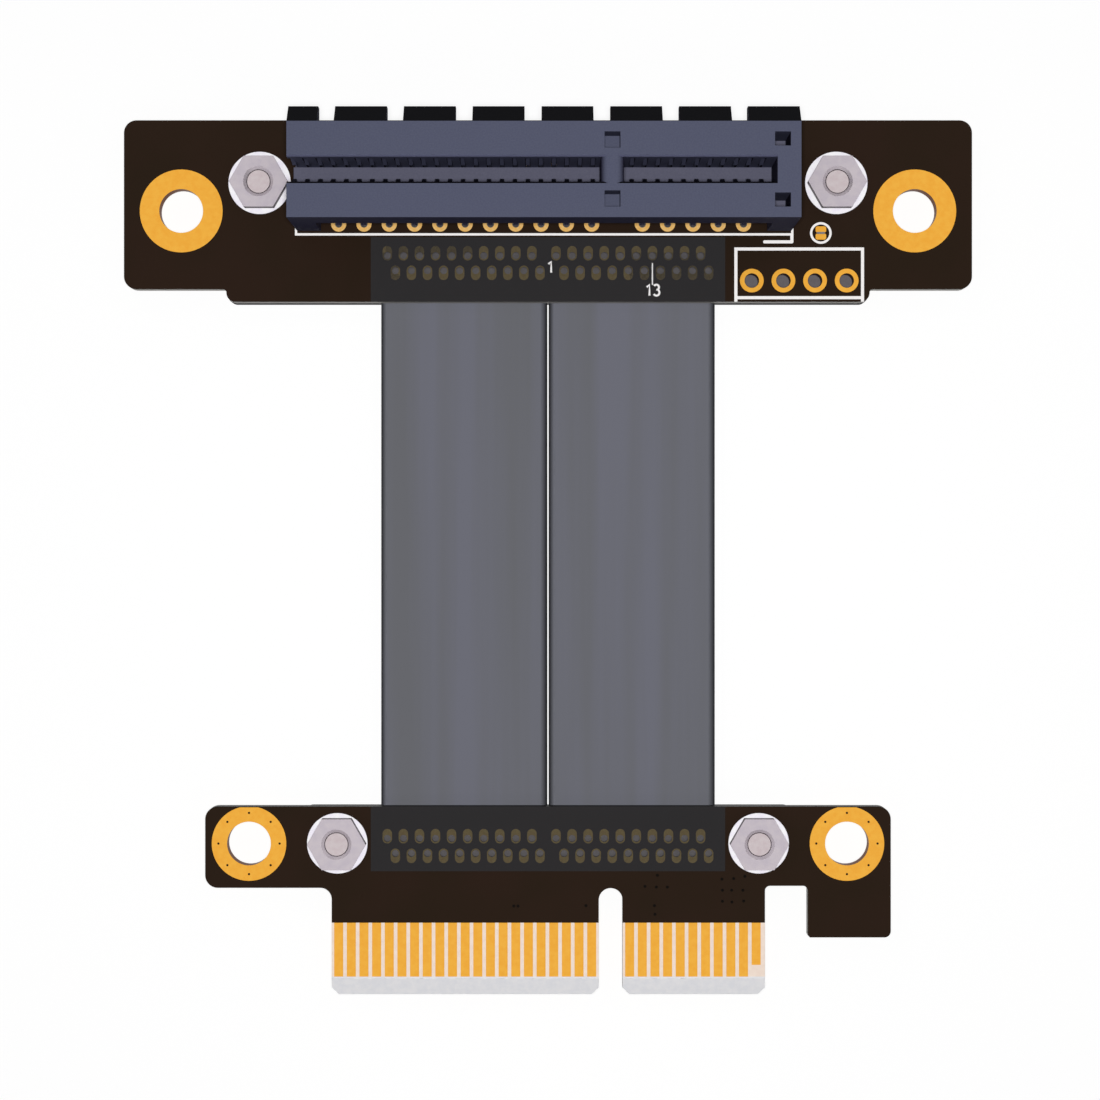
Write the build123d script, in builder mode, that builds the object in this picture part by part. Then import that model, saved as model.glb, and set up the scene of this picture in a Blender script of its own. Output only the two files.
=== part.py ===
import os

from build123d import *

# A card slot extension: a socket board and an edge board joined by two flat ribbon cables.
# The frame stands at the middle of the footprint, on the surface below the back covers.
# X runs across the boards, Y from the card edge to the socket board, Z up through the boards.
os.makedirs("parts", exist_ok=True)

# Boards
board_thickness = 1.6
copper_thickness = 0.05
plating_thickness = 0.08
corner_radius = 1.0
socket_board_width = 67.04
socket_board_depth = 13.35
skirt_width = 50.85
skirt_depth = 1.0
skirt_corner = 0.72
skirt_notch = 0.25
cable_span = 39.9
edge_board_width = 54.2
edge_arm_depth = 6.43
edge_board_length = 14.88

# Back covers
cover_floor = 0.7
cover_cavity = 1.1
cover_wall = 0.55
cover_corner = 0.6
cover_setback = 0.2
edge_cover_width = 38.75
edge_cover_depth = 6.3
edge_cover_inset = 0.08
window_clearance = 0.1

# Card edge: contact positions count outwards from the key
key_x = 4.955
pin_pitch = 1.0
key_half_gap = 1.5
short_side_pins = 11
long_side_pins = 21
notch_width = 1.88
notch_depth = 8.43
card_left_margin = 0.555
card_right_margin = 0.7
card_corner = 0.55
bevel_length = 1.3
bevel_depth = 0.45
finger_width = 0.71
finger_length = 4.26
finger_inset = 1.44
short_finger_step = 0.93
back_short_pin = 31

# Hooked tail beside the card edge
hook_gap_width = 3.39
hook_gap_depth = 6.27
hook_radius = 0.4
tail_length = 10.35
tail_radius = 0.5
tail_chamfer = 0.17
arm_fillet = 0.9

# Card slot housing
slot_inset = 5.1
housing_left = 24.77
housing_right = 14.26
housing_width = 7.3
housing_height = 11.25
slot_width = 1.89
slot_floor = 3.85
slot_end_wall = 1.8
mouth_chamfer = 0.13
rib_width = 1.76
rib_radius = 0.65
rib_offset = 0.06
left_leg = 1.87
right_leg = 1.9
step_height = 6.5
step_depth = 1.0
foot_gap = 0.9
cavity_width = 0.38
cavity_depth = 0.65
cavity_lip = 1.2
spare_floor = 1.0
peg_diameter = 1.6
peg_length = 1.3
pocket_width = 1.2
pocket_rim = 0.8
key_pocket_length = 1.23
end_pocket_length = 1.07
key_pocket_depth = 2.9
end_pocket_depth = 6.1
tooth_count = 8
tooth_pitch = 5.25
tooth_width = 3.95
tooth_reach = 1.35
tooth_drop = 1.9
tooth_height = 3.25

# Slot contacts and their solder holes
contact_width = 0.32
contact_thickness = 0.2
contact_peak = 6.4
contact_tip = 9.4
near_reach = 0.8
far_reach = 0.22
spare_positions = 3
tail_below = 0.8
outer_row = 3.11
pin_hole = 0.56
pin_pad = 1.2
solder_cone = 0.6
solder_foot = 0.5
solder_tip = 0.2

# Mounting holes
mount_hole = 3.46
socket_hole_inset = 4.53
socket_hole_rise = 6.18
socket_ring = 6.56
edge_hole_inset = 3.47
edge_hole_drop = 2.92
edge_ring = 5.9
ring_edge_gap = 0.06
stitch_circle = 4.84
stitch_hole = 0.18
stitch_count = 8

# Cover screws with their nuts and washers
screw_diameter = 1.9
screw_head = 3.8
screw_clearance = 0.1
tip_chamfer = 0.06
drive_length = 1.9
drive_width = 0.4
drive_depth = 0.5
nut_flats = 4.0
nut_height = 1.3
nut_bore_chamfer = 0.24
socket_washer = 4.93
edge_washer = 4.78
washer_thickness = 0.3
boss_diameter = 4.4
socket_screw_spread = 45.54
socket_screw_inset = 4.98
edge_screw_spread = 33.28
edge_screw_drop = 2.885

# Ribbon cables and their solder holes
wire_pitch = 0.635
wires_per_cable = 20
wire_diameter = 0.3
wire_bend = 0.45
wire_recess = 0.5
ribbon_thickness = 0.9
ribbon_margin = 0.58
strip_inset = 1.2
socket_first_row = 2.47
edge_first_row = 2.52
row_pitch = 1.19
wire_hole = 0.55
wire_pad_width = 0.75
wire_pad_length = 1.15
wire_pad_shift = 0.18
film_thickness = 0.1
film_depth = 5.1
film_width = 28.0

# Four-hole header and solder jumper
header_left = 16.11
header_pitch = 2.5
header_holes = 4
header_rise = 1.68
header_hole = 1.15
header_pad = 1.88
jumper_x = 21.57
jumper_rise = 5.44
jumper_pad_width = 0.84
jumper_pad_height = 0.5
jumper_pad_chamfer = 0.1
jumper_gap = 0.06
jumper_bridge = 0.16
jumper_bridge_width = 0.66

# Printed legend
ink_thickness = 0.03
ink_width = 0.25
fine_ink_width = 0.19
header_line_rise = 0.2
header_box_margin = 1.38
header_box_top = 4.3
jumper_ring = 1.72
slot_line_gap = 0.27
slot_line_tick = 0.5
corner_mark = 2.4
corner_mark_drop = 0.59

# Levels
board_bottom = cover_floor + cover_cavity
board_top = board_bottom + board_thickness
copper_top = board_top + copper_thickness
copper_bottom = board_bottom - copper_thickness
housing_base = board_top + foot_gap
spare_level = housing_base + spare_floor
housing_top = board_top + housing_height
nut_seat = board_top + washer_thickness
nut_top = nut_seat + nut_height
screw_tip = nut_top - nut_bore_chamfer
wire_level = board_bottom - ribbon_thickness / 2
wire_tip = board_top - wire_recess

# Lines across the footprint, from the socket board down to the card edge
socket_top_y = (socket_board_depth + skirt_depth + cable_span + edge_board_length) / 2
shoulder_y = socket_top_y - socket_board_depth
socket_cable_y = shoulder_y - skirt_depth
edge_top_y = socket_cable_y - cable_span
arm_y = edge_top_y - edge_arm_depth
card_end_y = edge_top_y - edge_board_length
finger_bottom_y = card_end_y + finger_inset
finger_top_y = finger_bottom_y + finger_length
slot_y = socket_top_y - slot_inset
near_wall_y = slot_y - slot_width / 2
far_wall_y = slot_y + slot_width / 2
housing_near_y = slot_y - housing_width / 2
housing_far_y = slot_y + housing_width / 2

# Contact positions: pin 1 stands at the right end, the key lies between pins 11 and 12
right_pins = [key_x + key_half_gap + pin_pitch * i for i in reversed(range(short_side_pins))]
left_pins = [key_x - key_half_gap - pin_pitch * i for i in range(long_side_pins)]
pin_xs = right_pins + left_pins
inner_pin_xs = pin_xs[0::2]
outer_pin_xs = pin_xs[1::2]
spare_xs = [left_pins[-1] - pin_pitch * (i + 1) for i in range(spare_positions)]
inner_row = slot_width / 2 + cavity_depth / 2
pin_holes = [(x, slot_y + side * inner_row) for x in inner_pin_xs for side in (-1, 1)]
pin_holes += [(x, slot_y + side * outer_row) for x in outer_pin_xs for side in (-1, 1)]

# Limits of the housing and the card edge along X
housing_left_x = key_x - housing_left
housing_right_x = key_x + housing_right
slot_end_x = housing_right_x - slot_end_wall
card_left_x = left_pins[-1] - card_left_margin
card_right_x = right_pins[0] + card_right_margin

# Round holes of the boards
socket_mounts = [
    (side * (socket_board_width / 2 - socket_hole_inset), shoulder_y + socket_hole_rise)
    for side in (-1, 1)
]
edge_mounts = [
    (side * (edge_board_width / 2 - edge_hole_inset), edge_top_y - edge_hole_drop)
    for side in (-1, 1)
]
socket_screws = [(side * socket_screw_spread / 2, socket_top_y - socket_screw_inset) for side in (-1, 1)]
edge_screws = [(side * edge_screw_spread / 2, edge_top_y - edge_screw_drop) for side in (-1, 1)]
header_points = [
    (header_left + header_pitch * i, socket_cable_y + header_rise) for i in range(header_holes)
]
pegs = [(key_x, slot_y), (housing_right_x - right_leg / 2, slot_y)]
jumper_y = socket_cable_y + jumper_rise


def in_upper_row(x):
    # neighbouring wires rise through the two rows of solder holes in turn
    odd = round(abs(x) / wire_pitch) % 2 == 1
    return odd == (x > 0)


def socket_wire_y(x):
    return socket_cable_y + socket_first_row + (row_pitch if in_upper_row(x) else 0)


def edge_wire_y(x):
    return edge_top_y - edge_first_row - (0 if in_upper_row(x) else row_pitch)


def pad_shift(x):
    # the long pads reach away from the middle between the two rows
    return wire_pad_shift if in_upper_row(x) else -wire_pad_shift


# Wires: the first wire of each cable lies one pitch from the middle line
right_wire_xs = [wire_pitch * (i + 1) for i in range(wires_per_cable)]
left_wire_xs = [-x for x in right_wire_xs]
socket_wire_holes = [(x, socket_wire_y(x)) for x in left_wire_xs + right_wire_xs]
edge_wire_holes = [(x, edge_wire_y(x)) for x in left_wire_xs + right_wire_xs]
socket_wire_pads = [(x, y + pad_shift(x)) for x, y in socket_wire_holes]
edge_wire_pads = [(x, y + pad_shift(x)) for x, y in edge_wire_holes]
cable_half_width = right_wire_xs[-1] + ribbon_margin


def save(piece, name):
    piece.label = name
    export_step(piece, f"parts/{name}.step")


def corner(sketch, x, y):
    # the vertex of a sketch that lies nearest to a point
    return sketch.vertices().sort_by_distance((x, y, 0))[0]


# Socket board: a wide panel whose cable side steps out in a narrower skirt
with BuildPart() as socket_board:
    with BuildSketch(Plane.XY.offset(board_bottom)) as outline:
        with Locations((0, shoulder_y)):
            Rectangle(socket_board_width, socket_board_depth, align=(Align.CENTER, Align.MIN))
            Rectangle(skirt_width, skirt_depth, align=(Align.CENTER, Align.MAX))
        for side in (-1, 1):
            fillet(corner(outline, side * socket_board_width / 2, socket_top_y), corner_radius)
            fillet(corner(outline, side * socket_board_width / 2, shoulder_y), corner_radius)
            fillet(corner(outline, side * skirt_width / 2, socket_cable_y), skirt_corner)
            fillet(corner(outline, side * skirt_width / 2, shoulder_y), skirt_notch)
        with Locations(*pin_holes):
            Circle(pin_hole / 2, mode=Mode.SUBTRACT)
        with Locations(*socket_wire_holes):
            Circle(wire_hole / 2, mode=Mode.SUBTRACT)
        with Locations(*header_points):
            Circle(header_hole / 2 + plating_thickness, mode=Mode.SUBTRACT)
        with Locations(*socket_mounts):
            Circle(mount_hole / 2 + plating_thickness, mode=Mode.SUBTRACT)
        with Locations(*socket_screws):
            Circle((screw_diameter + screw_clearance) / 2, mode=Mode.SUBTRACT)
        with Locations(*pegs):
            Circle(peg_diameter / 2, mode=Mode.SUBTRACT)
    extrude(amount=board_thickness)
save(socket_board.part, "socket_board")

# Edge board: two arms, a card edge with its key notch, and a hooked tail on the right
with BuildPart() as edge_board:
    with BuildSketch(Plane.XY.offset(board_bottom)) as outline:
        tail_x = card_right_x + hook_gap_width
        tail_y = edge_top_y - tail_length
        half_width = edge_board_width / 2
        with Locations((0, edge_top_y)):
            Rectangle(edge_board_width, edge_arm_depth, align=(Align.CENTER, Align.MAX))
        with Locations((card_left_x, edge_top_y)):
            Rectangle(card_right_x - card_left_x, edge_board_length, align=(Align.MIN, Align.MAX))
        with Locations((half_width, edge_top_y)):
            Rectangle(half_width - tail_x, tail_length, align=(Align.MAX, Align.MAX))
        with Locations((card_right_x, edge_top_y - hook_gap_depth)):
            Rectangle(hook_gap_width, edge_board_length, align=(Align.MIN, Align.MAX), mode=Mode.SUBTRACT)
        with Locations((key_x, card_end_y)):
            Rectangle(notch_width, 2 * notch_depth - notch_width, mode=Mode.SUBTRACT)
        with Locations((key_x, card_end_y + notch_depth - notch_width / 2)):
            Circle(notch_width / 2, mode=Mode.SUBTRACT)
        for x, y in [(-half_width, edge_top_y), (half_width, edge_top_y), (-half_width, arm_y)]:
            fillet(corner(outline, x, y), corner_radius)
        fillet(corner(outline, card_left_x, arm_y), arm_fillet)
        fillet(corner(outline, half_width, tail_y), tail_radius)
        chamfer(corner(outline, tail_x, tail_y), tail_chamfer)
        for x in (card_right_x, tail_x):
            fillet(corner(outline, x, edge_top_y - hook_gap_depth), hook_radius)
        for x in (card_left_x, key_x - notch_width / 2, key_x + notch_width / 2, card_right_x):
            chamfer(corner(outline, x, card_end_y), card_corner)
        with Locations(*edge_wire_holes):
            Circle(wire_hole / 2, mode=Mode.SUBTRACT)
        with Locations(*edge_mounts):
            Circle(mount_hole / 2 + plating_thickness, mode=Mode.SUBTRACT)
        with Locations(*edge_screws):
            Circle((screw_diameter + screw_clearance) / 2, mode=Mode.SUBTRACT)
    extrude(amount=board_thickness)
    with BuildSketch(Plane.YZ) as bevels:
        for level, drop in ((board_top, -bevel_depth), (board_bottom, bevel_depth)):
            with BuildLine():
                Polyline(
                    (card_end_y, level),
                    (card_end_y + bevel_length, level),
                    (card_end_y, level + drop),
                    close=True,
                )
            make_face()
    extrude(amount=edge_board_width, both=True, mode=Mode.SUBTRACT)
save(edge_board.part, "edge_board")


def plated_holes(name, centres, hole, ring, edge_y=None, stitches=0):
    # copper eyelets: a barrel through the board with a ring on each face, open over plugged stitch holes
    with BuildPart() as plating:
        for level, height in ((board_top, copper_thickness), (board_bottom, -copper_thickness)):
            with BuildSketch(Plane.XY.offset(level)):
                with Locations(*centres):
                    Circle(ring / 2)
                    Circle(hole / 2, mode=Mode.SUBTRACT)
                if edge_y is not None:
                    with Locations((0, edge_y)):
                        Rectangle(
                            edge_board_width, ring, align=(Align.CENTER, Align.MIN), mode=Mode.SUBTRACT
                        )
                if stitches:
                    with Locations(*centres):
                        with PolarLocations(stitch_circle / 2, stitches):
                            Circle(stitch_hole / 2, mode=Mode.SUBTRACT)
            extrude(amount=height)
        with BuildSketch(Plane.XY.offset(board_bottom)):
            with Locations(*centres):
                Circle(hole / 2 + plating_thickness)
                Circle(hole / 2, mode=Mode.SUBTRACT)
        extrude(amount=board_thickness)
    save(plating.part, name)


for side_name, mount in zip(("left", "right"), socket_mounts):
    plated_holes(f"socket_ring_{side_name}", [mount], mount_hole, socket_ring)
ring_limit_y = edge_top_y - ring_edge_gap
for side_name, mount in zip(("left", "right"), edge_mounts):
    plated_holes(f"edge_ring_{side_name}", [mount], mount_hole, edge_ring, ring_limit_y, stitch_count)
plated_holes("header_plating", header_points, header_hole, header_pad)

# Solder pads of the slot contacts, on the front and on the back of the socket board
for name, level, height in (
    ("slot_pads_front", board_top, copper_thickness),
    ("slot_pads_back", board_bottom, -copper_thickness),
):
    with BuildPart() as slot_pads:
        with BuildSketch(Plane.XY.offset(level)):
            with Locations(*pin_holes):
                Circle(pin_pad / 2)
                Circle(pin_hole / 2, mode=Mode.SUBTRACT)
        extrude(amount=height)
    save(slot_pads.part, name)

# Slot housing: one moulding, open at its left end, on two legs above the board
with BuildPart() as slot_housing:
    housing_length = housing_right_x - housing_left_x
    with Locations((housing_left_x, slot_y, housing_base)):
        Box(
            housing_length,
            housing_width,
            housing_height - foot_gap,
            align=(Align.MIN, Align.CENTER, Align.MIN),
        )
    # both long walls step in above the outer rows of solder pads
    for y, side in ((housing_near_y, Align.MIN), (housing_far_y, Align.MAX)):
        with Locations((housing_left_x + left_leg, y, board_top)):
            Box(
                housing_length - left_leg - right_leg,
                step_depth,
                step_height,
                align=(Align.MIN, side, Align.MIN),
                mode=Mode.SUBTRACT,
            )
    for x, width, side in ((housing_left_x, left_leg, Align.MIN), (housing_right_x, right_leg, Align.MAX)):
        with Locations((x, slot_y, board_top)):
            Box(width, housing_width, foot_gap, align=(side, Align.CENTER, Align.MIN))
    # locating pegs below the key and the right leg
    for x, y in pegs:
        with Locations((x, y, board_top - peg_length)):
            Cylinder(peg_diameter / 2, peg_length + foot_gap, align=(Align.CENTER, Align.CENTER, Align.MIN))
    # the slot and its chamfered mouth, cut from the left end to the end wall
    with BuildSketch(Plane.YZ.offset(slot_end_x)):
        with BuildLine():
            Polyline(
                (near_wall_y, board_top + slot_floor),
                (near_wall_y, housing_top - mouth_chamfer),
                (near_wall_y - mouth_chamfer, housing_top),
                (far_wall_y + mouth_chamfer, housing_top),
                (far_wall_y, housing_top - mouth_chamfer),
                (far_wall_y, board_top + slot_floor),
                close=True,
            )
        make_face()
    extrude(amount=-housing_length, mode=Mode.SUBTRACT)
    # key rib with round shoulders
    rib_x = key_x - rib_offset
    with BuildSketch(Plane.XZ.offset(-slot_y)) as rib:
        with Locations((rib_x, housing_top)):
            Rectangle(rib_width, housing_height - slot_floor, align=(Align.CENTER, Align.MAX))
        for side in (-1, 1):
            fillet(corner(rib, rib_x + side * rib_width / 2, housing_top), rib_radius)
    extrude(amount=slot_width / 2 + mouth_chamfer, both=True)
    # one cavity in each wall for every contact, open below so that the tails can leave;
    # the spare ones at the left end have a floor
    cavity_top = housing_top - cavity_lip
    for y, side in ((near_wall_y, Align.MAX), (far_wall_y, Align.MIN)):
        with Locations(*[(x, y, housing_base) for x in pin_xs]):
            Box(
                cavity_width,
                cavity_depth,
                cavity_top - housing_base,
                align=(Align.CENTER, side, Align.MIN),
                mode=Mode.SUBTRACT,
            )
        with Locations(*[(x, y, spare_level) for x in spare_xs]):
            Box(
                cavity_width,
                cavity_depth,
                cavity_top - spare_level,
                align=(Align.CENTER, side, Align.MIN),
                mode=Mode.SUBTRACT,
            )
        # the last cavity opens through the left end
        with Locations((housing_left_x, y, spare_level)):
            Box(
                spare_xs[-1] - housing_left_x,
                cavity_depth,
                cavity_top - spare_level,
                align=(Align.MIN, side, Align.MIN),
                mode=Mode.SUBTRACT,
            )
    # square pockets beside the key and at the closed end
    end_pocket_x = housing_right_x - pocket_rim - pocket_width / 2
    for x, length, depth in (
        (rib_x, key_pocket_length, key_pocket_depth),
        (end_pocket_x, end_pocket_length, end_pocket_depth),
    ):
        for y, side in ((housing_near_y + pocket_rim, Align.MIN), (housing_far_y - pocket_rim, Align.MAX)):
            with Locations((x, y, housing_top)):
                Box(
                    pocket_width,
                    length,
                    depth,
                    align=(Align.CENTER, side, Align.MAX),
                    mode=Mode.SUBTRACT,
                )
    # wedge teeth along the far top edge, the last one cut short by the left end
    for i in range(tooth_count):
        tooth_right = housing_right_x - tooth_pitch * i
        tooth_left = max(tooth_right - tooth_width, housing_left_x)
        with BuildSketch(Plane.YZ.offset(tooth_left)):
            with BuildLine():
                Polyline(
                    (housing_far_y, housing_top),
                    (housing_far_y + tooth_reach, housing_top - tooth_drop),
                    (housing_far_y + tooth_reach, housing_top - tooth_height),
                    (housing_far_y, housing_top - tooth_height),
                    close=True,
                )
            make_face()
        extrude(amount=tooth_right - tooth_left)
save(slot_housing.part, "slot_housing")


def contact_outline(side, reach, row):
    # bent strip seen from the end: tail, foot under the housing, shaft, bulge and tip
    wall_y = slot_y + side * slot_width / 2
    shaft_y = slot_y + side * inner_row
    foot_level = board_top + foot_gap / 2
    bend_level = board_top + slot_floor + contact_width
    spring = [
        (shaft_y, bend_level),
        (wall_y - side * (reach - contact_thickness), board_top + contact_peak),
        (shaft_y, board_top + contact_tip),
    ]
    if row is None:
        return [(shaft_y, spare_level + contact_thickness / 2)] + spring
    tail = [(slot_y + side * row, board_bottom - tail_below)]
    if row == outer_row:
        tail += [(slot_y + side * row, foot_level), (shaft_y, foot_level)]
    return tail + spring


# Contacts: the near row stands well out into the slot, the far row lies close to its wall
for name, side, reach in (("slot_contacts_near", -1, near_reach), ("slot_contacts_far", 1, far_reach)):
    with BuildPart() as contacts:
        for xs, row in ((inner_pin_xs, inner_row), (outer_pin_xs, outer_row), (spare_xs, None)):
            with BuildSketch(*[Plane.YZ.offset(x) for x in xs]):
                with BuildLine():
                    Polyline(*contact_outline(side, reach, row))
                    offset(amount=contact_thickness / 2, kind=Kind.INTERSECTION)
                make_face()
            extrude(amount=contact_width / 2, both=True)
    save(contacts.part, name)

# Solder in the slot holes, with a cone around each tail on the back
with BuildPart() as slot_solder:
    with Locations(*[(x, y, copper_bottom) for x, y in pin_holes]):
        Cylinder(pin_hole / 2, copper_top - copper_bottom, align=(Align.CENTER, Align.CENTER, Align.MIN))
        Cone(solder_tip, solder_foot, solder_cone, align=(Align.CENTER, Align.CENTER, Align.MAX))
    with Locations(*[(x, y, board_bottom) for x, y in pin_holes]):
        Box(contact_width, contact_thickness, 2 * housing_height, mode=Mode.SUBTRACT)
save(slot_solder.part, "slot_solder")


def cable_pads(name, centres, holes):
    # long pads around the wire holes on both faces of a board
    with BuildPart() as pads:
        for level, height in ((board_top, copper_thickness), (board_bottom, -copper_thickness)):
            with BuildSketch(Plane.XY.offset(level)):
                with Locations(*centres):
                    SlotOverall(wire_pad_length, wire_pad_width, rotation=90)
                with Locations(*holes):
                    Circle(wire_hole / 2, mode=Mode.SUBTRACT)
            extrude(amount=height)
    save(pads.part, name)


def cable_solder(name, holes):
    # a sleeve of solder between each wire and its hole
    with BuildPart() as solder:
        with BuildSketch(Plane.XY.offset(copper_bottom)):
            with Locations(*holes):
                Circle(wire_hole / 2)
                Circle(wire_diameter / 2, mode=Mode.SUBTRACT)
        extrude(amount=wire_tip - copper_bottom)
    save(solder.part, name)


for board, centres, holes in (
    ("socket", socket_wire_pads, socket_wire_holes),
    ("edge", edge_wire_pads, edge_wire_holes),
):
    cable_pads(f"{board}_cable_pads", centres, holes)
    cable_solder(f"{board}_cable_solder", holes)

# Dark films over the cable pads
for name, cable_y, side in (
    ("socket_film", socket_cable_y, Align.MIN),
    ("edge_film", edge_top_y, Align.MAX),
):
    with BuildPart() as film:
        with Locations((0, cable_y, copper_top)):
            Box(film_width, film_depth, film_thickness, align=(Align.CENTER, side, Align.MIN))
    save(film.part, name)

# Ribbon cables: flat jackets with one bore per wire
ribbon_start_y = edge_top_y - strip_inset
ribbon_length = socket_cable_y + strip_inset - ribbon_start_y
for side_name, xs in (("left", left_wire_xs), ("right", right_wire_xs)):
    with BuildPart() as ribbon:
        with BuildSketch(Plane.XZ.offset(-ribbon_start_y)):
            with Locations(((xs[0] + xs[-1]) / 2, wire_level)):
                SlotOverall(abs(xs[-1] - xs[0]) + 2 * ribbon_margin, ribbon_thickness)
            with Locations(*[(x, wire_level) for x in xs]):
                Circle(wire_diameter / 2, mode=Mode.SUBTRACT)
        extrude(amount=-ribbon_length)
    save(ribbon.part, f"ribbon_{side_name}")

# Wires: each rises through the socket board at one end and the edge board at the other
for side_name, xs in (("left", left_wire_xs), ("right", right_wire_xs)):
    with BuildPart() as wires:
        for x in xs:
            with BuildLine():
                FilletPolyline(
                    (x, socket_wire_y(x), wire_tip),
                    (x, socket_wire_y(x), wire_level),
                    (x, edge_wire_y(x), wire_level),
                    (x, edge_wire_y(x), wire_tip),
                    radius=wire_bend,
                )
            with BuildSketch(Plane.XY.offset(wire_tip)):
                with Locations((x, socket_wire_y(x))):
                    Circle(wire_diameter / 2)
            sweep()
    save(wires.part, f"wires_{side_name}")


def back_cover(name, width, depth, cable_y, side, screws):
    # tray behind a board: rim, screw bosses and a window where the cables come in
    far_side = Align.MIN if side > 0 else Align.MAX
    with BuildPart() as cover:
        with BuildSketch():
            with Locations((0, cable_y + side * depth / 2)):
                RectangleRounded(width, depth, cover_corner)
        extrude(amount=board_bottom)
        with BuildSketch(Plane.XY.offset(cover_floor)):
            with Locations((0, cable_y + side * depth / 2)):
                Rectangle(width - 2 * cover_wall, depth - 2 * cover_wall)
        extrude(amount=cover_cavity, mode=Mode.SUBTRACT)
        with BuildSketch(Plane.XY.offset(cover_floor)):
            with Locations(*screws):
                Circle(boss_diameter / 2)
        extrude(amount=cover_cavity)
        with Locations((0, cable_y, board_bottom - ribbon_thickness)):
            Box(
                2 * (cable_half_width + window_clearance),
                cover_wall,
                ribbon_thickness,
                align=(Align.CENTER, far_side, Align.MIN),
                mode=Mode.SUBTRACT,
            )
        with Locations(*[Plane((x, y, 0), z_dir=(0, 0, -1)) for x, y in screws]):
            CounterSinkHole(
                (screw_diameter + screw_clearance) / 2,
                screw_head / 2,
                counter_sink_angle=90,
            )
    save(cover.part, name)


socket_cover_depth = socket_board_depth + skirt_depth - cover_setback
back_cover("socket_back_cover", skirt_width, socket_cover_depth, socket_cable_y, 1, socket_screws)
edge_cover_y = edge_top_y - edge_cover_inset
back_cover("edge_back_cover", edge_cover_width, edge_cover_depth, edge_cover_y, -1, edge_screws)


def hex_nut(name, x, y):
    # the bore holds the screw, with a countersink at its top
    with BuildPart() as nut:
        with BuildSketch(Plane.XY.offset(nut_seat)):
            with Locations((x, y)):
                RegularPolygon(nut_flats / 2, 6, major_radius=False)
                Circle(screw_diameter / 2, mode=Mode.SUBTRACT)
        extrude(amount=nut_height)
        with Locations((x, y, nut_top)):
            Cone(
                screw_diameter / 2,
                screw_diameter / 2 + nut_bore_chamfer,
                nut_bore_chamfer,
                align=(Align.CENTER, Align.CENTER, Align.MAX),
                mode=Mode.SUBTRACT,
            )
    save(nut.part, name)


def flat_washer(name, diameter, x, y):
    with BuildPart() as washer:
        with BuildSketch(Plane.XY.offset(board_top)):
            with Locations((x, y)):
                Circle(diameter / 2)
                Circle((screw_diameter + screw_clearance) / 2, mode=Mode.SUBTRACT)
        extrude(amount=washer_thickness)
    save(washer.part, name)


def cover_screw(name, x, y):
    # flat head screw with a cross drive, its tip at the foot of the nut's countersink
    with BuildPart() as screw:
        with Locations((x, y, 0)):
            Cylinder(screw_diameter / 2, screw_tip, align=(Align.CENTER, Align.CENTER, Align.MIN))
            Cone(
                screw_head / 2,
                screw_diameter / 2,
                (screw_head - screw_diameter) / 2,
                align=(Align.CENTER, Align.CENTER, Align.MIN),
            )
            Box(
                drive_length,
                drive_width,
                drive_depth,
                align=(Align.CENTER, Align.CENTER, Align.MIN),
                mode=Mode.SUBTRACT,
            )
            Box(
                drive_width,
                drive_length,
                drive_depth,
                align=(Align.CENTER, Align.CENTER, Align.MIN),
                mode=Mode.SUBTRACT,
            )
        tip_edge = screw.edges().filter_by(GeomType.CIRCLE).sort_by(Axis.Z)[-1]
        chamfer(tip_edge, tip_chamfer)
    save(screw.part, name)


for board, diameter, screws in (
    ("socket", socket_washer, socket_screws),
    ("edge", edge_washer, edge_screws),
):
    for side_name, (x, y) in zip(("left", "right"), screws):
        hex_nut(f"{board}_nut_{side_name}", x, y)
        flat_washer(f"{board}_washer_{side_name}", diameter, x, y)
        cover_screw(f"{board}_screw_{side_name}", x, y)


def contact_fingers(name, level, height, short_x):
    # gold fingers of one face of the card edge, one of them shorter for presence detection
    with BuildPart() as fingers:
        with BuildSketch(Plane.XY.offset(level)):
            with Locations(*[(x, finger_top_y) for x in pin_xs if x != short_x]):
                Rectangle(finger_width, finger_length, align=(Align.CENTER, Align.MAX))
            with Locations((short_x, finger_top_y)):
                Rectangle(
                    finger_width, finger_length - short_finger_step, align=(Align.CENTER, Align.MAX)
                )
        extrude(amount=height)
    save(fingers.part, name)


contact_fingers("edge_fingers_front", board_top, copper_thickness, pin_xs[0])
contact_fingers("edge_fingers_back", board_bottom, -copper_thickness, pin_xs[back_short_pin - 1])

# Solder jumper: two gold pads and the bridge of solder between them
with BuildPart() as jumper_pads:
    with BuildSketch(Plane.XY.offset(board_top)) as pad_outline:
        for side in (-1, 1):
            with Locations((jumper_x, jumper_y + side * (jumper_gap + jumper_pad_height) / 2)):
                Rectangle(jumper_pad_width, jumper_pad_height)
        chamfer(pad_outline.vertices(), jumper_pad_chamfer)
    extrude(amount=copper_thickness)
save(jumper_pads.part, "jumper_pads")

with BuildPart() as jumper_solder:
    with BuildSketch(Plane.XY.offset(copper_top)):
        with Locations((jumper_x, jumper_y)):
            SlotOverall(jumper_bridge_width, jumper_bridge)
    extrude(amount=copper_thickness)
save(jumper_solder.part, "jumper_solder")

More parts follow.
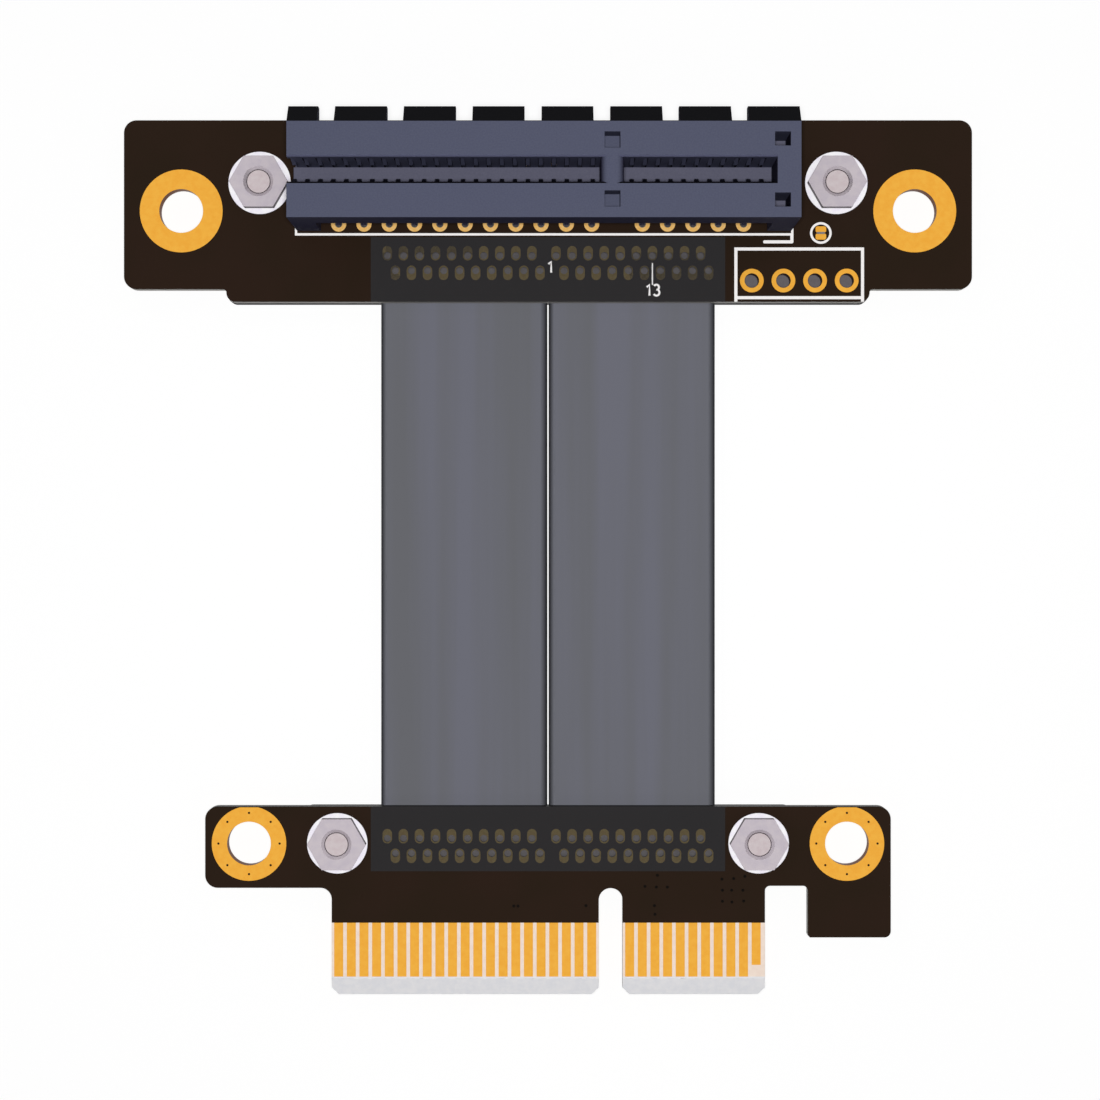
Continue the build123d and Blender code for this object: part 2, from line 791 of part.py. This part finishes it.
# Printed legend of the socket board: slot line, header box with its base line, jumper ring
with BuildPart() as socket_legend:
    slot_line_y = housing_near_y - slot_line_gap
    slot_line_left = housing_left_x - fine_ink_width
    slot_line_right = housing_right_x + fine_ink_width
    with BuildSketch(Plane.XY.offset(board_top)):
        with Locations((slot_line_left, slot_line_y)):
            Rectangle(slot_line_right - slot_line_left, fine_ink_width, align=(Align.MIN, Align.CENTER))
            Rectangle(fine_ink_width, slot_line_tick, align=(Align.MIN, Align.MIN))
        with Locations((slot_line_right, slot_line_y)):
            Rectangle(fine_ink_width, slot_line_tick, align=(Align.MAX, Align.MIN))
            Rectangle(ink_width, corner_mark_drop, align=(Align.MAX, Align.MAX))
        with Locations((slot_line_right, slot_line_y - corner_mark_drop)):
            SlotOverall(corner_mark, ink_width, align=(Align.MAX, Align.CENTER))
        box_width = header_pitch * (header_holes - 1) + 2 * header_box_margin
        box_left = header_left - header_box_margin
        with Locations((box_left, socket_cable_y)):
            Rectangle(box_width, header_box_top, align=(Align.MIN, Align.MIN))
            with Locations((ink_width, header_line_rise + ink_width)):
                Rectangle(
                    box_width - 2 * ink_width,
                    header_box_top - header_line_rise - 2 * ink_width,
                    align=(Align.MIN, Align.MIN),
                    mode=Mode.SUBTRACT,
                )
            with Locations((ink_width, 0)):
                Rectangle(
                    box_width - 2 * ink_width,
                    header_line_rise,
                    align=(Align.MIN, Align.MIN),
                    mode=Mode.SUBTRACT,
                )
        with Locations((jumper_x, jumper_y)):
            Circle(jumper_ring / 2)
            Circle(jumper_ring / 2 - fine_ink_width, mode=Mode.SUBTRACT)
    extrude(amount=ink_thickness)
save(socket_legend.part, "socket_legend")
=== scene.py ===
import math

import bmesh
import bpy
from mathutils import Matrix, Vector


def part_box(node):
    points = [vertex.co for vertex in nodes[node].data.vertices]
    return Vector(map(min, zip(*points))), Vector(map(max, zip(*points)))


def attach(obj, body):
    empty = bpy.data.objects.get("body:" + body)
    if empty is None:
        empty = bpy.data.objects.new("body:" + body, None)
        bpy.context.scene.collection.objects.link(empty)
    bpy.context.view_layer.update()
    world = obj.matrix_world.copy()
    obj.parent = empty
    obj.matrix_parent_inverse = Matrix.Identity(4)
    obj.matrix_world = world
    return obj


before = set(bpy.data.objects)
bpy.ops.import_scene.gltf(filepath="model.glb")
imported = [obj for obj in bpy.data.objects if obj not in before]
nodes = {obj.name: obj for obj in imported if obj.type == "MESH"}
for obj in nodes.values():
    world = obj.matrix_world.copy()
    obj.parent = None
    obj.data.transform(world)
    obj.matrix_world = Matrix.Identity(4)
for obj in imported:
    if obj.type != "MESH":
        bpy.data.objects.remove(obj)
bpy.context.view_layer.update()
mm = 0.001

# levels and edges read from the frame, in metres
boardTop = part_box("socket_board")[1][2]
filmFoot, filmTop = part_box("socket_film")[0][2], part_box("socket_film")[1][2]
housingNear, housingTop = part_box("slot_housing")[0][1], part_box("slot_housing")[1][2]
fingerFoot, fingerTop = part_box("edge_fingers_front")[0][1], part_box("edge_fingers_front")[1][1]
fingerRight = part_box("edge_fingers_front")[1][0]
print("frame loaded:", len(nodes), "CAD pieces")


def linearColour(hexText):
    # sRGB hex to the linear values that the shaders take
    channels = [int(hexText[i:i + 2], 16) / 255 for i in (0, 2, 4)]
    linear = [c / 12.92 if c <= 0.04045 else ((c + 0.055) / 1.055) ** 2.4 for c in channels]
    return (*linear, 1.0)


def addNode(tree, kind, inputs=None, **settings):
    # a shader node with its settings, its values and its links
    node = tree.nodes.new(kind)
    for name, value in settings.items():
        setattr(node, name, value)
    for key, value in (inputs or {}).items():
        if isinstance(value, bpy.types.NodeSocket):
            tree.links.new(value, node.inputs[key])
        else:
            node.inputs[key].default_value = value
    return node


mixA, mixB, mixed = 6, 7, 2      # where a Mix node has its two colours and what comes of them


def newMaterial(name, values):
    # a Principled material with plain values set on its own sockets
    material = bpy.data.materials.new(name)
    material.use_nodes = True
    shader = material.node_tree.nodes["Principled BSDF"]
    for key, value in values.items():
        shader.inputs[key].default_value = value
    return material, material.node_tree, shader


def dress(node, material):
    # a CAD piece keeps its mesh and gets a finish
    for slot in nodes[node].material_slots:
        slot.material = material


def perMillimetre(size):
    # texture scale for a pattern that repeats every so many millimetres of object space
    return 1 / (size * mm)


# camera: straight down on the boards, as in the photograph
cameraView = {
    "aimX": 0.16,             # mm, what the middle of the picture looks at
    "aimY": 0.595,
    "heightAboveBoard": 270,  # mm
    "framedWidth": 86.96,     # mm across the picture at the board's top face
    "sensor": 36,             # mm
}


def makeCamera(view):
    data = bpy.data.cameras.new("camera")
    data.sensor_width = view["sensor"]
    data.lens = view["sensor"] * view["heightAboveBoard"] / view["framedWidth"]
    camera = bpy.data.objects.new("camera", data)
    camera.location = (view["aimX"] * mm, view["aimY"] * mm, boardTop + view["heightAboveBoard"] * mm)
    bpy.context.collection.objects.link(camera)
    bpy.context.scene.camera = camera
    bpy.context.scene.view_settings.view_transform = "Standard"


makeCamera(cameraView)
print("camera placed")


# studio: a pale floor, one small lamp just above the camera, four weak softboxes and an even sky;
# lengths are in metres, and a lamp's level is the share of white that it gives a white card
studio = {
    "white": (1, 1, 1, 1),
    "floorSize": 4.0,
    "floorTone": "7c7c7c",   # what the floor gives back to the object's sides
    "floorRough": 0.9,
    "floorGlow": 0.8,        # the share of its white that only the camera and reflections see
    "skyLevel": 0.05,
    # so near the camera that walls seen at a slant stay dark
    "headLamp": {"size": 0.02, "height": 0.28, "level": 0.88},
    "softBox": {"size": 0.22, "distance": 0.7, "tilt": 34, "level": 0.05, "count": 4},
}


def seenDirectly(tree):
    # one for camera, reflection and glass rays, nothing for the light that falls on the object
    path = addNode(tree, "ShaderNodeLightPath")
    mirror = addNode(tree, "ShaderNodeMath", {
        0: path.outputs["Is Camera Ray"], 1: path.outputs["Is Glossy Ray"],
    }, operation="MAXIMUM")
    return addNode(tree, "ShaderNodeMath", {
        0: mirror.outputs[0], 1: path.outputs["Is Transmission Ray"],
    }, operation="MAXIMUM").outputs[0]


def makeFloor(setup):
    half = setup["floorSize"] / 2
    corners = [(-half, -half, 0), (half, -half, 0), (half, half, 0), (-half, half, 0)]
    mesh = bpy.data.meshes.new("floor")
    mesh.from_pydata(corners, [], [(0, 1, 2, 3)])
    floor = bpy.data.objects.new("floor", mesh)
    bpy.context.collection.objects.link(floor)
    material, tree, shader = newMaterial("paintedFloor", {
        "Base Color": linearColour(setup["floorTone"]),
        "Roughness": setup["floorRough"],
        "Emission Color": setup["white"],
    })
    glow = addNode(tree, "ShaderNodeMath", {
        0: seenDirectly(tree), 1: setup["floorGlow"],
    }, operation="MULTIPLY")
    tree.links.new(glow.outputs[0], shader.inputs["Emission Strength"])
    mesh.materials.append(material)


def makeSky(setup):
    world = bpy.data.worlds.new("studioSky")
    bpy.context.scene.world = world
    world.use_nodes = True
    tree = world.node_tree
    background = tree.nodes["Background"]
    background.inputs["Color"].default_value = setup["white"]
    level = addNode(tree, "ShaderNodeMapRange", {
        "Value": seenDirectly(tree), "To Min": setup["skyLevel"], "To Max": 1.0,
    })
    tree.links.new(level.outputs[0], background.inputs["Strength"])


def hangLamp(name, direction, distance, size, level):
    # a round lamp whose power is worked out from the level that it gives a white card on the floor
    data = bpy.data.lights.new(name, "AREA")
    data.shape = "DISK"
    data.size = size
    data.energy = level * (math.pi * distance) ** 2 / direction.z
    lamp = bpy.data.objects.new(name, data)
    lamp.location = direction * distance
    lamp.rotation_euler = direction.to_track_quat("Z", "Y").to_euler()
    lamp.visible_glossy = False        # flat metal mirrors the white room, not the lamp
    lamp.visible_camera = False
    bpy.context.collection.objects.link(lamp)


def hangLamps(head, soft):
    hangLamp("headLamp", Vector((0, 0, 1)), head["height"], head["size"], head["level"])
    tilt = math.radians(soft["tilt"])
    for i in range(soft["count"]):
        turn = math.tau * (i + 0.5) / soft["count"]
        aside = math.sin(tilt)
        direction = Vector((aside * math.cos(turn), aside * math.sin(turn), math.cos(tilt)))
        hangLamp(f"softBox{i}", direction, soft["distance"], soft["size"], soft["level"] / soft["count"])


makeFloor(studio)
makeSky(studio)
hangLamps(studio["headLamp"], studio["softBox"])
print("studio lit")


# surfaces: what the finishes below have in common
surface = {
    "detail": 3.0,             # how finely the grain breaks up
    "depth": 0.1,              # of the grain's relief, as a share of its size
    "bevelSamples": 4,
    "passing": (0.35, 0.65),   # the part of a pattern over which one tone passes into the other
    "flat": 0.95,              # faces that look up or down more than this keep their own tone
    "steep": 0.35,             # and those that do so less than this take the side tone, a painted shade except on the boards' milled edges
    "away": 0.3,               # walls that look more than this towards the far end (+Y) take a painted shade
}


def surfaceGrain(tree, shader, size, relief, softEdge):
    # fine unevenness of a moulded or plated surface, and a soft line of light along its edges;
    # size and softEdge are in mm, and relief is how strongly the unevenness shows, from 0 to 1
    place = addNode(tree, "ShaderNodeTexCoord").outputs["Object"]
    noise = addNode(tree, "ShaderNodeTexNoise", {
        "Vector": place, "Scale": perMillimetre(size), "Detail": surface["detail"],
    })
    rounded = addNode(tree, "ShaderNodeBevel", {"Radius": softEdge * mm}, samples=surface["bevelSamples"])
    bump = addNode(tree, "ShaderNodeBump", {
        "Height": noise.outputs["Fac"], "Strength": relief, "Distance": size * mm * surface["depth"],
        "Normal": rounded.outputs[0],
    })
    tree.links.new(bump.outputs[0], shader.inputs["Normal"])
    return place, noise.outputs["Fac"]


def tint(tree, pattern, low, high):
    # a colour that passes between two tones with a pattern
    start, end = surface["passing"]
    share = addNode(tree, "ShaderNodeMapRange", {"Value": pattern, "From Min": start, "From Max": end})
    return addNode(tree, "ShaderNodeMix", {
        "Factor": share.outputs[0], mixA: linearColour(low), mixB: linearColour(high),
    }, data_type="RGBA").outputs[mixed]


def faceDirection(tree):
    # the way a face looks: its share along X, Y and Z, each from -1 to 1
    geometry = addNode(tree, "ShaderNodeNewGeometry")
    return addNode(tree, "ShaderNodeSeparateXYZ", {0: geometry.outputs["Normal"]}).outputs


def paintSidesAndShade(tree, colour, sideTone, awayTone=None, flat=surface["flat"]):
    # flat faces keep their colour and steeper ones pass into the side tone: the real cut colour on the
    # boards' milled edges, a painted shade elsewhere (on the springs a painted light); walls that look
    # towards the far end can take a painted shade
    facing = faceDirection(tree)
    lying = addNode(tree, "ShaderNodeMath", {0: facing["Z"]}, operation="ABSOLUTE")
    wall = addNode(tree, "ShaderNodeMapRange", {
        "Value": lying.outputs[0], "From Min": flat, "From Max": surface["steep"],
    })
    colour = addNode(tree, "ShaderNodeMix", {
        "Factor": wall.outputs[0], mixA: colour, mixB: linearColour(sideTone),
    }, data_type="RGBA").outputs[mixed]
    if awayTone is None:
        return colour
    away = addNode(tree, "ShaderNodeMath", {
        0: facing["Y"], 1: surface["away"],
    }, operation="GREATER_THAN")
    return addNode(tree, "ShaderNodeMix", {
        "Factor": away.outputs[0], mixA: colour, mixB: linearColour(awayTone),
    }, data_type="RGBA").outputs[mixed]


# circuit boards: glass laminate under a brown-black solder mask, milled edges left bare
board = {
    "mask": ("251b13", "281c15"),      # faint clouds, so that the panel isn't one flat tone
    "milled": "aeaba5",                # cut glass cloth along the edges
    "shaded": "202020",                # painted shade on the same cut where it looks away from the light
    "bare": ("dfdfe3", "e6e5e7"),      # unmasked laminate below the gold fingers
    "between": ("ecd9cb", "f1e0d2"),   # between the fingers it is warmer, tinted towards their gold
    "cardMargin": 1.0,                 # mm of bare card beyond the last finger
    "cloud": 6.0,                      # mm
    "weave": 0.5,                      # mm between glass bundles
    "relief": 0.15,
    "softEdge": 0.05,                  # mm
    "rough": 0.45,
    "shine": 0.05,
}


def bareCardEdge(tree, place, grain, masked):
    # beyond the mask's edge the laminate shows pale, but the hooked tail is masked all over
    axes = addNode(tree, "ShaderNodeSeparateXYZ", {0: place}).outputs
    below = addNode(tree, "ShaderNodeMath", {0: axes["Y"], 1: fingerTop}, operation="LESS_THAN")
    onCard = addNode(tree, "ShaderNodeMath", {
        0: axes["X"], 1: fingerRight + board["cardMargin"] * mm,
    }, operation="LESS_THAN")
    bare = addNode(tree, "ShaderNodeMath", {
        0: below.outputs[0], 1: onCard.outputs[0],
    }, operation="MULTIPLY")
    between = addNode(tree, "ShaderNodeMath", {0: axes["Y"], 1: fingerFoot}, operation="GREATER_THAN")
    laminate = addNode(tree, "ShaderNodeMix", {
        "Factor": between.outputs[0],
        mixA: tint(tree, grain, *board["bare"]),
        mixB: tint(tree, grain, *board["between"]),
    }, data_type="RGBA")
    return addNode(tree, "ShaderNodeMix", {
        "Factor": bare.outputs[0], mixA: masked, mixB: laminate.outputs[mixed],
    }, data_type="RGBA").outputs[mixed]


def makeBoardMaterial(name, node, cardEdge):
    material, tree, shader = newMaterial(name, {
        "Roughness": board["rough"], "Specular IOR Level": board["shine"],
    })
    place, grain = surfaceGrain(tree, shader, board["weave"], board["relief"], board["softEdge"])
    cloud = addNode(tree, "ShaderNodeTexNoise", {"Vector": place, "Scale": perMillimetre(board["cloud"])})
    colour = tint(tree, cloud.outputs["Fac"], *board["mask"])
    if cardEdge:
        colour = bareCardEdge(tree, place, grain, colour)
    # milled edges keep their real pale cut colour; those that look towards the far end get a painted shade
    colour = paintSidesAndShade(tree, colour, board["milled"], board["shaded"])
    tree.links.new(colour, shader.inputs["Base Color"])
    dress(node, material)


makeBoardMaterial("maskedLaminate", "socket_board", cardEdge=False)
makeBoardMaterial("maskedCardEdge", "edge_board", cardEdge=True)
print("boards finished")


# slot housing: glass-filled nylon, moulded, dark blue grey with a dull face
housing = {
    "tones": ("4f5265", "54576a"),
    # painted shade on the housing's steep walls
    "wall": "282738",
    "lightenedFloors": ("585868", "5d5d6d"),    # the floors of the slot and of the end pockets, painted lighter in place of their shade
    "depth": 5.0,            # mm below the top face
    "wedge": "08080b",       # painted shade on the wedge teeth and the mouth's bevel that look away from the cables
    "slotWallLight": "565870",    # painted light on the slot's far wall, as if lit from the floor of the slot
    "slotStart": 1.5,        # mm, well inside the wall on the cables' side
    "slotFacing": -0.5,      # its far wall looks more than this towards the cables (-Y)
    "grain": 0.12,           # mm
    "relief": 0.2,
    "softEdge": 0.04,        # mm
    "rough": 0.7,
    "shine": 0.03,
}


def makeHousing():
    material, tree, shader = newMaterial("mouldedNylon", {
        "Roughness": housing["rough"], "Specular IOR Level": housing["shine"],
    })
    place, grain = surfaceGrain(tree, shader, housing["grain"], housing["relief"], housing["softEdge"])
    axes = addNode(tree, "ShaderNodeSeparateXYZ", {0: place}).outputs
    # painted light: faces deep below the top take the lighter floor tone in place of their shade
    deep = addNode(tree, "ShaderNodeMath", {
        0: axes["Z"], 1: housingTop - housing["depth"] * mm,
    }, operation="LESS_THAN")
    colour = addNode(tree, "ShaderNodeMix", {
        "Factor": deep.outputs[0],
        mixA: tint(tree, grain, *housing["tones"]),
        mixB: tint(tree, grain, *housing["lightenedFloors"]),
    }, data_type="RGBA").outputs[mixed]
    # painted shade on the walls and on the faces that look away from the cables
    colour = paintSidesAndShade(tree, colour, housing["wall"], housing["wedge"])
    # painted light on the faces inside the slot that look towards the cables
    inside = addNode(tree, "ShaderNodeMath", {
        0: axes["Y"], 1: housingNear + housing["slotStart"] * mm,
    }, operation="GREATER_THAN")
    facing = addNode(tree, "ShaderNodeMath", {
        0: faceDirection(tree)["Y"], 1: housing["slotFacing"],
    }, operation="LESS_THAN")
    lit = addNode(tree, "ShaderNodeMath", {
        0: inside.outputs[0], 1: facing.outputs[0],
    }, operation="MULTIPLY")
    colour = addNode(tree, "ShaderNodeMix", {
        "Factor": lit.outputs[0], mixA: colour, mixB: linearColour(housing["slotWallLight"]),
    }, data_type="RGBA").outputs[mixed]
    tree.links.new(colour, shader.inputs["Base Color"])
    dress("slot_housing", material)


makeHousing()
print("housing finished")


# metals: each is dull enough to spread the softboxes and takes its tone from the plating;
# its walls take a darker tone, a painted shade; grain is in mm, and bright is the share that mirrors the
# room, as oxide and flux residue leave the rest matt
metals = {
    "immersionGold": {       # thin gold over copper
        "tones": ("eda93e", "f0b145"), "side": "80552a", "rough": 0.3, "grain": 0.4, "bright": 1.0,
        "pieces": (
            "socket_ring_left", "socket_ring_right", "edge_ring_left", "edge_ring_right", "header_plating",
            "edge_fingers_front", "edge_fingers_back", "jumper_pads",
        ),
    },
    "lightenedSlotGold": {          # gold around the slot's solder, painted paler to cancel the shade that the housing casts on these pads
        "tones": ("f6bf68", "fbcd84"), "side": "80552a", "rough": 0.4, "grain": 0.2, "bright": 0.3,
        "pieces": ("slot_pads_front", "slot_pads_back"),
    },
    "mutedGold": {           # gold under the films
        "tones": ("bc9f5b", "c2aa63"), "side": "70562f", "rough": 0.4, "grain": 0.2, "bright": 0.3,
        "pieces": ("socket_cable_pads", "edge_cable_pads"),
    },
    "nickelPlate": {         # warm grey, almost white
        "tones": ("c0b7c0", "c7bec4"), "side": "5e585f", "rough": 0.4, "grain": 0.6, "bright": 0.4,
        "pieces": ("socket_nut_left", "socket_nut_right", "edge_nut_left", "edge_nut_right"),
    },
    "rolledSteel": {         # the screws' ends, a little redder than the nuts
        "tones": ("c7b9bc", "cdc2c4"), "side": "5e585f", "rough": 0.3, "grain": 0.4, "bright": 1.0,
        "pieces": ("socket_screw_left", "socket_screw_right", "edge_screw_left", "edge_screw_right"),
    },
    "reflowedSolder": {      # dull grey
        "tones": ("77777a", "8a8a8e"), "side": "505054", "rough": 0.4, "grain": 0.1, "bright": 1.0,
        "pieces": ("slot_solder", "jumper_solder"),
    },
    "brightSolder": {        # around the wires
        "tones": ("cfc8cb", "dad3d6"), "side": "8c8688", "rough": 0.35, "grain": 0.2, "bright": 0.7,
        "pieces": ("socket_cable_solder", "edge_cable_solder", "wires_left", "wires_right"),
    },
}
metalFace = {
    "relief": 0.06,
    "softEdge": 0.02,        # mm
    "flat": 0.6,             # small rounded faces keep their tone further down than other pieces before the painted wall shade begins
    "grazing": "a09595",     # barrels and hole walls stay dark where they are seen at a slant
}


def makeMetals():
    for name, finish in metals.items():
        material, tree, shader = newMaterial(name, {
            "Metallic": finish["bright"],
            "Roughness": finish["rough"],
            "Specular Tint": linearColour(metalFace["grazing"]),
        })
        _, grain = surfaceGrain(
            tree, shader, finish["grain"], metalFace["relief"], metalFace["softEdge"],
        )
        # steep faces pass into a painted shade
        colour = paintSidesAndShade(tree, tint(tree, grain, *finish["tones"]), finish["side"], flat=metalFace["flat"])
        tree.links.new(colour, shader.inputs["Base Color"])
        for node in finish["pieces"]:
            dress(node, material)


makeMetals()
print("metals finished")


# ribbon cables: soft PVC drawn over the wires, satin grey with faint streaks and swells lengthwise
ribbon = {
    "tones": ("66676c", "6b6c76"),
    "edge": "1c1d20",                            # painted shade on the jacket's round edges, turned from the light
    "turns": {"left": 0.42, "right": 0.56},      # mm over which each edge darkens
    "streak": 2.5,                               # mm across
    "streakSlimness": 0.03,                      # a streak's width over its length
    "streakDetail": 4.0,
    "swell": 3.99,                               # mm from one swell to the next
    "swellDepth": 0.05,                          # mm
    "relief": 0.08,
    "rough": 0.6,
    "shine": 0.04,
}
waveLength = math.tau / 20     # a Wave texture of scale 1 repeats at this length


def makeRibbon(node):
    material, tree, shader = newMaterial(node + "Pvc", {
        "Roughness": ribbon["rough"], "Specular IOR Level": ribbon["shine"],
    })
    place = addNode(tree, "ShaderNodeTexCoord").outputs["Object"]
    drawnOut = addNode(tree, "ShaderNodeMapping", {
        "Vector": place, "Scale": (1.0, ribbon["streakSlimness"], 1.0),
    })
    streaks = addNode(tree, "ShaderNodeTexNoise", {
        "Vector": drawnOut.outputs[0],
        "Scale": perMillimetre(ribbon["streak"]),
        "Detail": ribbon["streakDetail"],
    })
    colour = tint(tree, streaks.outputs["Fac"], *ribbon["tones"])
    across = addNode(tree, "ShaderNodeSeparateXYZ", {0: place}).outputs["X"]
    low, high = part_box(node)[0][0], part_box(node)[1][0]
    # painted shade darkening each edge of the ribbon
    for edge, turn in ((low, ribbon["turns"]["left"]), (high, -ribbon["turns"]["right"])):
        lit = addNode(tree, "ShaderNodeMapRange", {
            "Value": across, "From Min": edge, "From Max": edge + turn * mm,
        })
        colour = addNode(tree, "ShaderNodeMix", {
            "Factor": lit.outputs[0], mixA: linearColour(ribbon["edge"]), mixB: colour,
        }, data_type="RGBA").outputs[mixed]
    tree.links.new(colour, shader.inputs["Base Color"])
    swells = addNode(tree, "ShaderNodeTexWave", {
        "Vector": place, "Scale": waveLength * perMillimetre(ribbon["swell"]),
    }, bands_direction="X")
    bump = addNode(tree, "ShaderNodeBump", {
        "Height": swells.outputs["Fac"], "Strength": ribbon["relief"], "Distance": ribbon["swellDepth"] * mm,
    })
    tree.links.new(bump.outputs[0], shader.inputs["Normal"])
    dress(node, material)


makeRibbon("ribbon_left")
makeRibbon("ribbon_right")
print("ribbons finished")


# plain plastics: walls take a painted side tone, a painted shade except on the springs, where it is a
# painted light;
# walls that look towards the far end take a painted shade of their own, and grain is in mm
plastics = {
    "mouldedAbs": {          # grey covers with a fine spark-eroded face
        "tones": ("666164", "6c676a"), "side": "2a2a2c", "away": "333331",
        "rough": 0.6, "grain": 0.15, "shine": 0.02,
        "pieces": ("socket_back_cover", "edge_back_cover"),
    },
    "blackenedBronze": {     # springs, dulled by an oxide coat
        # on the springs the walls get the painted light of the slot's far wall, and those that look to the
        # far end a painted shade
        "tones": ("2c2b3c", "31303f"), "side": "565870", "away": "20202c",
        "rough": 0.7, "grain": 0.3, "shine": 0.02,
        "pieces": ("slot_contacts_near", "slot_contacts_far"),
    },
    "whiteNylon": {          # washers, faintly lilac
        "tones": ("f1ecf8", "fbfafc"), "side": "a09ca6", "away": "a09ca6",
        "rough": 0.4, "grain": 0.5, "shine": 0.2,
        "pieces": ("socket_washer_left", "socket_washer_right", "edge_washer_left", "edge_washer_right"),
    },
    "screenInk": {           # thick white legend ink
        "tones": ("f4f1f0", "f9f6f5"), "side": "a09e9d", "away": "a09e9d",
        "rough": 0.7, "grain": 0.2, "shine": 0.2,
        "pieces": ("socket_legend",),
    },
}
plasticFace = {"relief": 0.2, "softEdge": 0.05}      # the edge in mm


def makePlastics():
    made = {}
    for name, finish in plastics.items():
        material, tree, shader = newMaterial(name, {
            "Roughness": finish["rough"], "Specular IOR Level": finish["shine"],
        })
        _, grain = surfaceGrain(
            tree, shader, finish["grain"], plasticFace["relief"], plasticFace["softEdge"],
        )
        # walls take the painted side tone and those that look towards the far end the painted shade
        colour = paintSidesAndShade(tree, tint(tree, grain, *finish["tones"]), finish["side"], finish["away"])
        tree.links.new(colour, shader.inputs["Base Color"])
        for node in finish["pieces"]:
            dress(node, material)
        made[name] = material
    return made


plasticMaterials = makePlastics()
print("plastics finished")


# insulating films: dark smoked polyester, the pads and wires show dimly through it
film = {"tone": "38383a", "hides": 0.62, "rough": 0.4, "shine": 0.0}


def makeFilm():
    # only its upper face hides what lies below: the lower face rests on the pads
    material, tree, shader = newMaterial("smokedPolyester", {
        "Base Color": linearColour(film["tone"]),
        "Roughness": film["rough"],
        "Specular IOR Level": film["shine"],
    })
    place = addNode(tree, "ShaderNodeTexCoord").outputs["Object"]
    level = addNode(tree, "ShaderNodeSeparateXYZ", {0: place}).outputs["Z"]
    upper = addNode(tree, "ShaderNodeMath", {
        0: level, 1: (filmTop + filmFoot) / 2,
    }, operation="GREATER_THAN")
    hides = addNode(tree, "ShaderNodeMath", {0: upper.outputs[0], 1: film["hides"]}, operation="MULTIPLY")
    tree.links.new(hides.outputs[0], shader.inputs["Alpha"])
    dress("socket_film", material)
    dress("edge_film", material)


makeFilm()
print("films finished")


# printed figures on the socket board's film: plain pin numbers and a short line, in the legend's ink
stroke = {
    "width": 0.2,            # mm
    "thickness": 0.03,       # mm
    "roundness": 2,          # steps in a quarter of its section
    "bowlSteps": 8,          # straight steps along a bowl
}
oneOutline = [(-0.16, 0.27), (0.08, 0.5), (0.08, -0.5)]
# at and height in mm; lines and bowls are drawn around the figure's middle, with its height as 1,
# and a bowl has its centre, its radius and its first and last angle in degrees
figures = {
    "one": {"at": (0.18, 22.945), "height": 0.89, "line": oneOutline},
    "tensOne": {"at": (7.95, 21.13), "height": 0.87, "line": oneOutline},
    "three": {
        "at": (8.57, 21.13), "height": 0.87,
        "bowls": [((0.0, 0.26), 0.24, 150, -80), ((0.0, -0.22), 0.28, 80, -150)],
    },
    "mark": {"at": (8.25, 22.4), "height": 1.73, "line": [(0.0, 0.5), (0.0, -0.5)], "width": 0.12},
}


def bowlPoints(centre, radius, first, last):
    x, y = centre
    steps = stroke["bowlSteps"]
    turns = [math.radians(first + (last - first) * i / steps) for i in range(steps + 1)]
    return [(x + radius * math.cos(turn), y + radius * math.sin(turn)) for turn in turns]


def printStroke(name, points, at, height, width):
    data = bpy.data.curves.new(name, "CURVE")
    data.dimensions = "3D"
    data.bevel_depth = width * mm / 2
    data.bevel_resolution = stroke["roundness"]
    data.use_fill_caps = True
    spline = data.splines.new("POLY")
    spline.points.add(len(points) - 1)
    for point, (x, y) in zip(spline.points, points):
        point.co = (x * height * mm, y * height * mm, 0, 1)
    data.materials.append(plasticMaterials["screenInk"])
    line = bpy.data.objects.new(name, data)
    line.location = (at[0] * mm, at[1] * mm, filmTop)
    line.scale = (1, 1, stroke["thickness"] / width)     # ink lies flat
    bpy.context.collection.objects.link(line)
    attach(line, "root")


def printFigures():
    for name, figure in figures.items():
        points = list(figure.get("line", []))
        for bowl in figure.get("bowls", []):
            points += bowlPoints(*bowl)
        printStroke(name, points, figure["at"], figure["height"], figure.get("width", stroke["width"]))


printFigures()
print("figures printed")


# vias: small plugged holes under the edge board's mask, darker than the mask
vias = {
    "diameter": 0.24,        # mm
    "rise": 0.02,            # mm
    "sides": 12,
    "tone": "0c0907",
    "rough": 0.6,
    "shine": 0.05,
    "places": [              # mm
        (7.67, -25.99), (8.57, -26.05), (9.44, -26.05), (8.65, -25.12), (13.75, -25.42), (14.68, -25.38),
        (15.57, -25.2), (13.79, -26.3), (14.52, -26.3), (15.41, -26.3), (13.79, -27.17), (14.54, -27.23),
        (15.47, -27.15), (8.42, -27.52), (8.46, -28.2), (3.0, -27.52), (-2.7, -27.55), (-2.37, -27.55),
    ],
}


def makeVias():
    # flat discs in one mesh
    material = newMaterial("pluggedVia", {
        "Base Color": linearColour(vias["tone"]),
        "Roughness": vias["rough"],
        "Specular IOR Level": vias["shine"],
    })[0]
    radius = vias["diameter"] * mm / 2
    rise = vias["rise"] * mm
    build = bmesh.new()
    for x, y in vias["places"]:
        bmesh.ops.create_cone(
            build, cap_ends=True, segments=vias["sides"], radius1=radius, radius2=radius, depth=rise,
            matrix=Matrix.Translation((x * mm, y * mm, boardTop + rise / 2)),
        )
    mesh = bpy.data.meshes.new("vias")
    build.to_mesh(mesh)
    build.free()
    mesh.materials.append(material)
    discs = bpy.data.objects.new("vias", mesh)
    bpy.context.collection.objects.link(discs)
    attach(discs, "root")


makeVias()
print("vias added")
